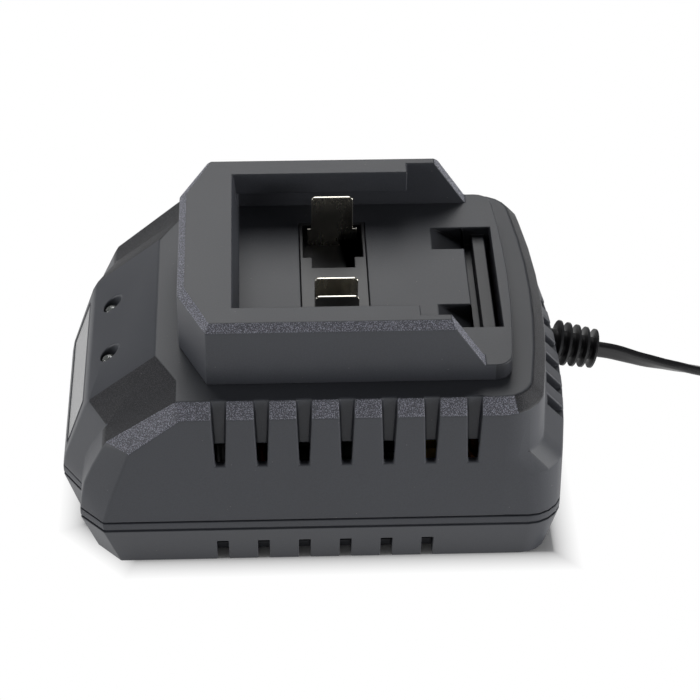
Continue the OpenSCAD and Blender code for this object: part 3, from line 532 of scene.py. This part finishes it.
# ---------------------------------------------------------------- housing
HOUSING_EDGE = 0.6
TRAY_EDGE = 0.28
DOCK_EDGE = 0.4
BLOCK_EDGE = 0.25
BLADE_EDGE = 0.2
BEHIND_BROW = 60.0
HOUSING_SLOPE = (0.45, 0.93)
RAIL_SLOPE = (0.2, 0.95)


def slopes(normal, limits):
    """Whether the face's normal points up by as much as the limits say."""
    return limits[0] < normal.z < limits[1]


def housing_spark(centre, normal):
    """Faces of the upper housing with the coarse texture: 1 for the band, less for the dark facets."""
    if not slopes(normal, HOUSING_SLOPE):
        return 0
    x, y, z = centre
    to_the_rear = normal.x > 0.4
    to_the_nose = normal.x < -0.3
    shoulder = z > BEVEL_Z - 0.5 and x > NOSE_X + BEHIND_BROW
    if to_the_rear and z > BEVEL_Z:
        return SPARK_FACET
    if normal.x < 0.3 and (abs(normal.y) > 0.5 or shoulder):
        return SPARK_BAND
    if z > BROW_LOW and (abs(normal.y) > 0.25 or to_the_nose and abs(y) > CHEEK_SIDE):
        return SPARK_FACET
    return 0


def dock_spark(centre, normal):
    """The bevel round the rails' tops and the sloping ends of the rails."""
    return SPARK_BAND if slopes(normal, RAIL_SLOPE) and centre.z > RAIL_BEVEL_Z else 0


def smooth_all_over(centre, normal):
    """No face has the coarse texture."""
    return 0


def recess_shade(centre, normal):
    """Faces in the recesses below the bay's floor, which get painted shade."""
    return BAY_FLOOR - RECESS_SHADE_FROM > centre.z > SHOULDER_H - RECESS_SHADE_TO


def make_moulding(node, slot, material, edge, marks):
    """A copy of a moulded node, with its faces marked and its edges rounded by edge."""
    obj = copy_of(node)
    for name, wanted in marks.items():
        mark(obj, name, wanted)
    soften(obj, edge)
    weigh(obj)
    settle(obj, material, slot, node)


def make_upper_housing(material):
    make_moulding("upper_housing", "housing", material, HOUSING_EDGE, {SPARK: housing_spark})


def make_bottom_tray(material):
    make_moulding("bottom_tray", "housing", material, TRAY_EDGE, {SPARK: smooth_all_over})


def make_dock(material):
    # The dock's recesses below the bay's floor get painted shade.
    make_moulding("battery_dock", "dock", material, DOCK_EDGE, {SPARK: dock_spark, RECESS_SHADE: recess_shade})


def make_terminal_block(material):
    # The block's pocket below the bay's floor gets painted shade.
    make_moulding("terminal_block", "insert", material, BLOCK_EDGE, {RECESS_SHADE: recess_shade})


def make_blades(material):
    for node in ("blade_positive", "blade_sense", "blade_negative"):
        obj = copy_of(node)
        soften(obj, BLADE_EDGE, 2, 35)
        weigh(obj)
        settle(obj, material, "blades", node)


# ---------------------------------------------------------------- strain relief
RIBS = 5
RIB_T = 0.9
FIRST_RIB = 1.9
TIP_PAST = 0.6
RIB_R = (6.9, 6.05)
CORE_R = (4.1, 3.4)
FLANGE_FROM = -5.6
FLANGE_TO = -4.2
FLANGE_R = 5.1
FLANGE_EDGE = 0.1
ROOT_IN = 0.15
ROOT_UP = (0.3, 0.25)
RIM_EDGE = ((0.04, 0.12), (0.14, 0))


def between(ends, share):
    """The value at share of the way from the first end to the second."""
    return ends[0] + share * (ends[1] - ends[0])


def relief_profile():
    """Steps of the relief from its flange inside the wall to its tip: distance and radius."""
    steps = [(FLANGE_FROM, FLANGE_R - FLANGE_EDGE), (FLANGE_FROM + FLANGE_EDGE, FLANGE_R),
             (FLANGE_TO - FLANGE_EDGE, FLANGE_R), (FLANGE_TO, FLANGE_R - FLANGE_EDGE),
             (FLANGE_TO + FLANGE_EDGE / 2, CORE_R[0])]
    for i in range(RIBS):
        share = i / (RIBS - 1)
        front = between((FIRST_RIB, RELIEF_LEN - TIP_PAST - RIB_T), share)
        back = front + RIB_T
        core = between(CORE_R, share)
        rim = between(RIB_R, share)
        steps += [(front - ROOT_IN, core), (front, core + ROOT_UP[0])]
        steps += [(front + step, rim - drop) for step, drop in RIM_EDGE]
        steps += [(back - step, rim - drop) for step, drop in reversed(RIM_EDGE)]
        steps += [(back, core + ROOT_UP[1]), (back + ROOT_IN, core)]
    return steps + [(RELIEF_LEN, CORE_R[1])]


def make_strain_relief(material):
    obj = turned("strain_relief_turned", mm(*RELIEF_AT), RELIEF_ALONG, relief_profile())
    smooth(obj, 28)
    settle(obj, material, "relief_rubber", "strain_relief")


# ---------------------------------------------------------------- cord
CORD_W = 5.0
CORD_T = 3.0
COIL_AT = (190.0, 2.0)
COIL_R = 35.0
COIL_TURNS = 4
CLIMB = 0.5
COIL_START = math.radians(120)
COIL_HEADING = Vector((math.sin(COIL_START), -math.cos(COIL_START), 0))
PILE_GAP = 0.5
TIE_T = 0.8
COIL_LOW = CORD_W / 2 + TIE_T + 0.1
TURN_STEPS = 36
PLUG_TURN = math.radians(-30)
PLUG_DIR = Vector((math.cos(PLUG_TURN), math.sin(PLUG_TURN), 0))
PLUG_H = 13.8
PLUG_IN = Vector((226, 36, PLUG_H / 2))
CORD_RUN = ((94, 18.6, 18), (103, 19, 15.2), (112, 19.6, 12.4),
            (121, 20.4, 9.6), (130, 21.4, 7), (140, 22.8, 5.2))
CORD_ROLLS = (90, 88, 70, 48, 30, 20, 20, 30, 60, 90, 90)
TAIL_RUN = ((190, 42, 8.9), (201, 45.4, 8.7), (212, 44, 8))
TAIL_ROLLS = (90, 90, 70, 40, 15, 0, 0)
CURVE_STEPS = 4


def lookup(u, table):
    """The value at u on straight lines through the table's points."""
    for (u0, v0), (u1, v1) in zip(table, table[1:]):
        if u <= u1:
            return v0 + (v1 - v0) * (u - u0) / (u1 - u0)
    return table[-1][1]


def wound(u):
    """Point of the coil after u turns: in along the lower layer, out along the upper."""
    turned_in = [(0, 0), (COIL_TURNS + CLIMB, COIL_TURNS + CLIMB),
                 (COIL_TURNS + 1, COIL_TURNS - 1), (2 * COIL_TURNS, 0)]
    radius = COIL_R - (CORD_T + PILE_GAP) * lookup(u, turned_in)
    climbed = min(1, max(0, (u - COIL_TURNS) / CLIMB))
    z = COIL_LOW + (CORD_W + PILE_GAP) * (1 - math.cos(math.pi * climbed)) / 2
    a = COIL_START - 2 * math.pi * u
    return Vector((COIL_AT[0] + radius * math.cos(a), COIL_AT[1] + radius * math.sin(a), z))


def curved(points, rolls):
    """A smooth line through the points, straight at its two ends, with the rolls carried along."""
    line, turns = [], []
    n = len(points)
    for i in range(n - 1):
        before = points[i - 1] if i else points[0] * 2 - points[1]
        after = points[i + 2] if i + 2 < n else points[-1] * 2 - points[-2]
        a, b = points[i], points[i + 1]
        for k in range(CURVE_STEPS):
            t = k / CURVE_STEPS
            line.append(0.5 * ((2 * a) + (b - before) * t + (2 * before - 5 * a + 4 * b - after) * t * t
                               + (3 * a - before - 3 * b + after) * t ** 3))
            ease = t * t * (3 - 2 * t)
            turns.append(rolls[i] + (rolls[i + 1] - rolls[i]) * ease)
    return line + [points[-1]], turns + [rolls[-1]]


def cord_line():
    """Centreline of the whole cord in mm, and its roll in degrees at each point."""
    start = Vector(RELIEF_AT) + RELIEF_ALONG * RELIEF_LEN
    coil_in = wound(0) - COIL_HEADING * CORD_W
    coil_out = wound(2 * COIL_TURNS) + COIL_HEADING * CORD_W
    lead = [start, start + RELIEF_ALONG * 6, *map(Vector, CORD_RUN),
            coil_in - COIL_HEADING * 12, coil_in - COIL_HEADING * 6, coil_in]
    tail = [coil_out, coil_out + COIL_HEADING * CORD_W, *map(Vector, TAIL_RUN),
            PLUG_IN - PLUG_DIR * CORD_W, PLUG_IN]
    coil = [wound(i / TURN_STEPS) for i in range(2 * COIL_TURNS * TURN_STEPS + 1)]
    line, rolls = curved(lead, CORD_ROLLS)
    more, more_rolls = curved(tail, TAIL_ROLLS)
    return line + coil + more, rolls + [CORD_ROLLS[-1]] * len(coil) + more_rolls


SECTION_SIDES = 20
WAIST = 0.16
WAIST_HALF = 0.7
END_ROUND = 0.8
SIDE_FLAT = 0.6


def cord_section():
    """Flat two-core section: rounded ends and a shallow waist between the cores, in mm."""
    points = []
    for k in range(SECTION_SIDES):
        a = 2 * math.pi * (k + 0.5) / SECTION_SIDES
        x = CORD_W / 2 * math.copysign(abs(math.cos(a)) ** END_ROUND, math.cos(a))
        y = CORD_T / 2 * math.copysign(abs(math.sin(a)) ** SIDE_FLAT, math.sin(a))
        points.append((x, y * (1 - WAIST * math.exp(-(x / WAIST_HALF) ** 2))))
    return points


def swept(name, line, rolls, section):
    """A mesh tube of the section along the line, closed at both ends."""
    verts, faces = [], []
    sides, last = len(section), len(line) - 1
    for i, at in enumerate(line):
        ahead = (line[min(i + 1, last)] - line[max(i - 1, 0)]).normalized()
        side = ahead.cross(Vector((0, 0, 1))).normalized()
        over = side.cross(ahead)
        c, s = math.cos(math.radians(rolls[i])), math.sin(math.radians(rolls[i]))
        for x, y in section:
            verts.append((at + side * (x * c - y * s) + over * (x * s + y * c)) * MM)
    for i in range(last):
        for k in range(sides):
            a, b = i * sides + k, i * sides + (k + 1) % sides
            faces.append((a, b, b + sides, a + sides))
    faces.append(tuple(range(sides - 1, -1, -1)))
    faces.append(tuple(last * sides + k for k in range(sides)))
    mesh = bpy.data.meshes.new(name)
    mesh.from_pydata(verts, [], faces)
    obj = bpy.data.objects.new(name, mesh)
    bpy.context.scene.collection.objects.link(obj)
    edit(obj, lambda: bpy.ops.mesh.normals_make_consistent(inside=False))
    return obj


TIE_EDGE = 0.35
PLUG_EDGE = 1.2


def make_cord(jacket, strap, shell, plating):
    line, rolls = cord_line()
    cord = swept("mains_cord_flat", line, rolls, cord_section())
    smooth(cord, 60)
    settle(cord, jacket, "cord_jacket", "mains_cord", "cord_coil", "plug_lead")
    tie = make_tie(strap)
    plug = make_plug(shell)
    pins = make_pins(plating)
    length = sum((b - a).length for a, b in zip(line, line[1:])) * MM
    line[0] * MM
    [p * MM for p in line]


def make_tie(material):
    obj = copy_of("cord_tie")
    soften(obj, TIE_EDGE, 3, 30)
    smooth(obj, 50)
    return settle(obj, material, "tie_strap", "cord_tie")


def make_plug(material):
    obj = copy_of("plug_body")
    soften(obj, PLUG_EDGE, 4, 20)
    smooth(obj, 50)
    return settle(obj, material, "plug_shell", "plug_body")


SLEEVE_LEN = 10.0
PLUG_FACE = 26.0


def sleeved(centre, normal):
    """Faces of the pins between the plug and the end of their sleeves."""
    return (centre - PLUG_IN).dot(PLUG_DIR) < PLUG_FACE + SLEEVE_LEN


def make_pins(material):
    obj = copy_of("plug_pins")
    sleeve_end = (PLUG_IN + PLUG_DIR * (PLUG_FACE + SLEEVE_LEN)) * MM
    edit(obj, lambda: bpy.ops.mesh.bisect(plane_co=sleeve_end, plane_no=PLUG_DIR))
    mark(obj, SLEEVE, sleeved)
    smooth(obj, 40)
    return settle(obj, material, "plug_metal", "plug_pins")


# ---------------------------------------------------------------- pieces shown as they are
def dress_inner_pieces():
    """The pieces in the housing, the lamps, the label, the screws and the feet."""
    steel = brushed_metal("zinc_plate", (0.62, 0.63, 0.64), 0.32, (1, 1, 0.1))
    package = plain_moulding("black_epoxy", (0.013, 0.013, 0.014), 0.42)
    dress("led_charging", clear_epoxy())
    dress("led_ready", NODES["led_charging"].data.materials[0])
    dress("led_stands", plain_moulding("natural_nylon", (0.68, 0.68, 0.62), 0.45))
    dress("led_legs", brushed_metal("tinned_wire", (0.66, 0.67, 0.68), 0.3, (1, 1, 0.05)))
    dress("front_label", plain_moulding("bare_film", (0.11, 0.112, 0.118), 0.24, 1500, 0.000004))
    dress("circuit_board", green_board())
    dress("transformer_core", plain_moulding("grey_ferrite", (0.05, 0.05, 0.052), 0.6, 900, 0.00006))
    dress("transformer_bobbin", plain_moulding("phenolic", (0.018, 0.018, 0.018), 0.4))
    dress("transformer_winding", plain_moulding("polyester_tape", (0.62, 0.42, 0.05), 0.3, 500, 0.00005))
    dress("bulk_capacitor", shrink_sleeve("blue_sleeve", (0.015, 0.024, 0.06)))
    dress("output_capacitors", shrink_sleeve("black_sleeve", (0.013, 0.013, 0.015)))
    dress("fuse", clear_epoxy())
    dress("bridge_rectifier", package)
    dress("heat_sink", brushed_metal("extruded_aluminium", (0.70, 0.71, 0.73), 0.4, (1, 1, 0.05)))
    dress("power_transistor", package)
    dress("output_diode", package)
    dress("sink_screws", steel)
    dress("line_choke", wound_copper())
    dress("line_capacitor", plain_moulding("yellow_box", (0.6, 0.4, 0.05), 0.35))
    dress("optocoupler", package)
    dress("control_chip", package)
    dress("resistors", plain_moulding("lacquer", (0.55, 0.38, 0.2), 0.35, 1200))
    dress("mains_leads", soft_rubber("brown_insulation", (0.11, 0.045, 0.02), 0.4))
    dress("output_wires", soft_rubber("red_insulation", (0.27, 0.02, 0.016), 0.45))
    for node in ("board_screws", "dock_screws", "terminal_screws"):
        dress(node, steel)
    dress("housing_screws", brushed_metal("black_zinc", (0.16, 0.165, 0.17), 0.35, (1, 1, 0.1)))
    dress("rubber_feet", soft_rubber("foot_rubber", (0.014, 0.014, 0.015), 0.7))


# ---------------------------------------------------------------- studio
# Outline of the underside, past which the contact shadow fades: half its width, its slanting corners,
# the middle of its length and half its length.
FOOT_HALF = 46.5
FOOT_CHEEK = 75.0
FOOT_MID = -7.0
FOOT_LONG = 68.0
FLOOR_SIZE = 8.0
KEY_POWER = 7.8
RIGHT_POWER = 7.0
LEFT_POWER = 4.6
FRONT_POWER = 0.6
WORLD_LEVEL = 0.06
CARD_HEIGHT = 0.24
LIGHTS_AIM = Vector((0, 0, 0.04))
SHADOW_REACH = 0.008
FLOOR_DROP = 0.00005
FLOOR_PALE = (0.93, 0.93, 0.93)
WHITE = (1, 1, 1)


def white_to_view(shader, lit, share):
    """The lit surface, but by share plain white to the camera and in reflections."""
    def ray(kind):
        return shader.node("ShaderNodeLightPath", {}, {}, kind)

    seen = (ray("Is Camera Ray") + ray("Is Glossy Ray") + ray("Is Transmission Ray")).at_most(1.0)
    plain = shader.node("ShaderNodeEmission", {}, {"Color": WHITE, "Strength": 1.0})
    mixed = shader.node("ShaderNodeMixShader", {}, {0: seen * share, 1: lit, 2: plain})
    shader.feed(shader.output.inputs["Surface"], mixed)


def make_floor():
    """A pale floor that shows only the contact shadow round the charger."""
    deselect()
    bpy.ops.mesh.primitive_plane_add(size=FLOOR_SIZE, location=(0, 0, -FLOOR_DROP))
    floor = bpy.context.active_object
    floor.name = "studio_floor"
    bpy.ops.object.transform_apply(location=True, rotation=True, scale=True)
    s = Shader("studio_floor")
    lit = s.node("ShaderNodeBsdfDiffuse", {}, {"Color": FLOOR_PALE})
    x, y = s.axis("X"), s.axis("Y").absolute()
    past_side = y - FOOT_HALF * MM
    past_cheek = (y - x) * math.sqrt(0.5) - FOOT_CHEEK * MM
    past_end = (x - FOOT_MID * MM).absolute() - FOOT_LONG * MM
    reach = past_side.at_least(past_cheek).at_least(past_end)
    white_to_view(s, lit, reach.above(0, SHADOW_REACH).root())
    floor.data.materials.append(s.material)


def make_world():
    """Weak even light, and plain white to the camera."""
    world = bpy.data.worlds.new("studio_light")
    bpy.context.scene.world = world
    world.use_nodes = True
    tree = world.node_tree
    tree.nodes.clear()
    out = tree.nodes.new("ShaderNodeOutputWorld")
    light = tree.nodes.new("ShaderNodeBackground")
    light.inputs["Color"].default_value = (*WHITE, 1)
    light.inputs["Strength"].default_value = WORLD_LEVEL
    white = tree.nodes.new("ShaderNodeBackground")
    white.inputs["Color"].default_value = (*WHITE, 1)
    white.inputs["Strength"].default_value = 1.0
    path = tree.nodes.new("ShaderNodeLightPath")
    mix = tree.nodes.new("ShaderNodeMixShader")
    tree.links.new(path.outputs["Is Camera Ray"], mix.inputs[0])
    tree.links.new(light.outputs[0], mix.inputs[1])
    tree.links.new(white.outputs[0], mix.inputs[2])
    tree.links.new(mix.outputs[0], out.inputs["Surface"])


def softbox(name, place, size, power, height=None):
    """A rectangular light aimed at the charger."""
    data = bpy.data.lights.new(name, "AREA")
    data.shape = "RECTANGLE"
    data.size = size
    data.size_y = height or size
    data.energy = power
    lamp = bpy.data.objects.new(name, data)
    bpy.context.scene.collection.objects.link(lamp)
    lamp.location = place
    lamp.rotation_euler = (Vector(place) - LIGHTS_AIM).to_track_quat("Z", "Y").to_euler()


def make_lights():
    softbox("overhead_softbox", (-0.1, 0.85, 0.9), 0.9, KEY_POWER)
    softbox("right_softbox", (1.0, -0.3, 0.13), 0.9, RIGHT_POWER, CARD_HEIGHT)
    softbox("left_softbox", (-1.0, -0.15, 0.3), 0.8, LEFT_POWER, 2 * CARD_HEIGHT)
    softbox("front_softbox", (-0.1, -0.9, 0.13), 1.0, FRONT_POWER, CARD_HEIGHT)


# ---------------------------------------------------------------- build
def main():
    bpy.context.scene.view_settings.view_transform = "Standard"
    make_camera()
    make_cord(soft_rubber("cord_jacket", (0.014, 0.014, 0.016), 0.32), hook_strap(),
              soft_rubber("plug_moulding", (0.014, 0.014, 0.016), 0.38), sleeved_pins())
    make_strain_relief(soft_rubber("relief_moulding", (0.013, 0.013, 0.015), 0.42))
    shell = moulded_charcoal("charcoal_housing", HOUSING_ROUGH)
    make_upper_housing(shell)
    make_bottom_tray(shell)
    make_dock(moulded_charcoal("charcoal_dock", DOCK_ROUGH))
    make_terminal_block(plain_moulding("dark_nylon", (0.03, 0.03, 0.033), 0.4))
    make_blades(brushed_metal("nickel_strip", (0.74, 0.71, 0.63), 0.26, (1, 1, 0.08)))
    dress_inner_pieces()
    make_floor()
    make_world()
    make_lights()


main()
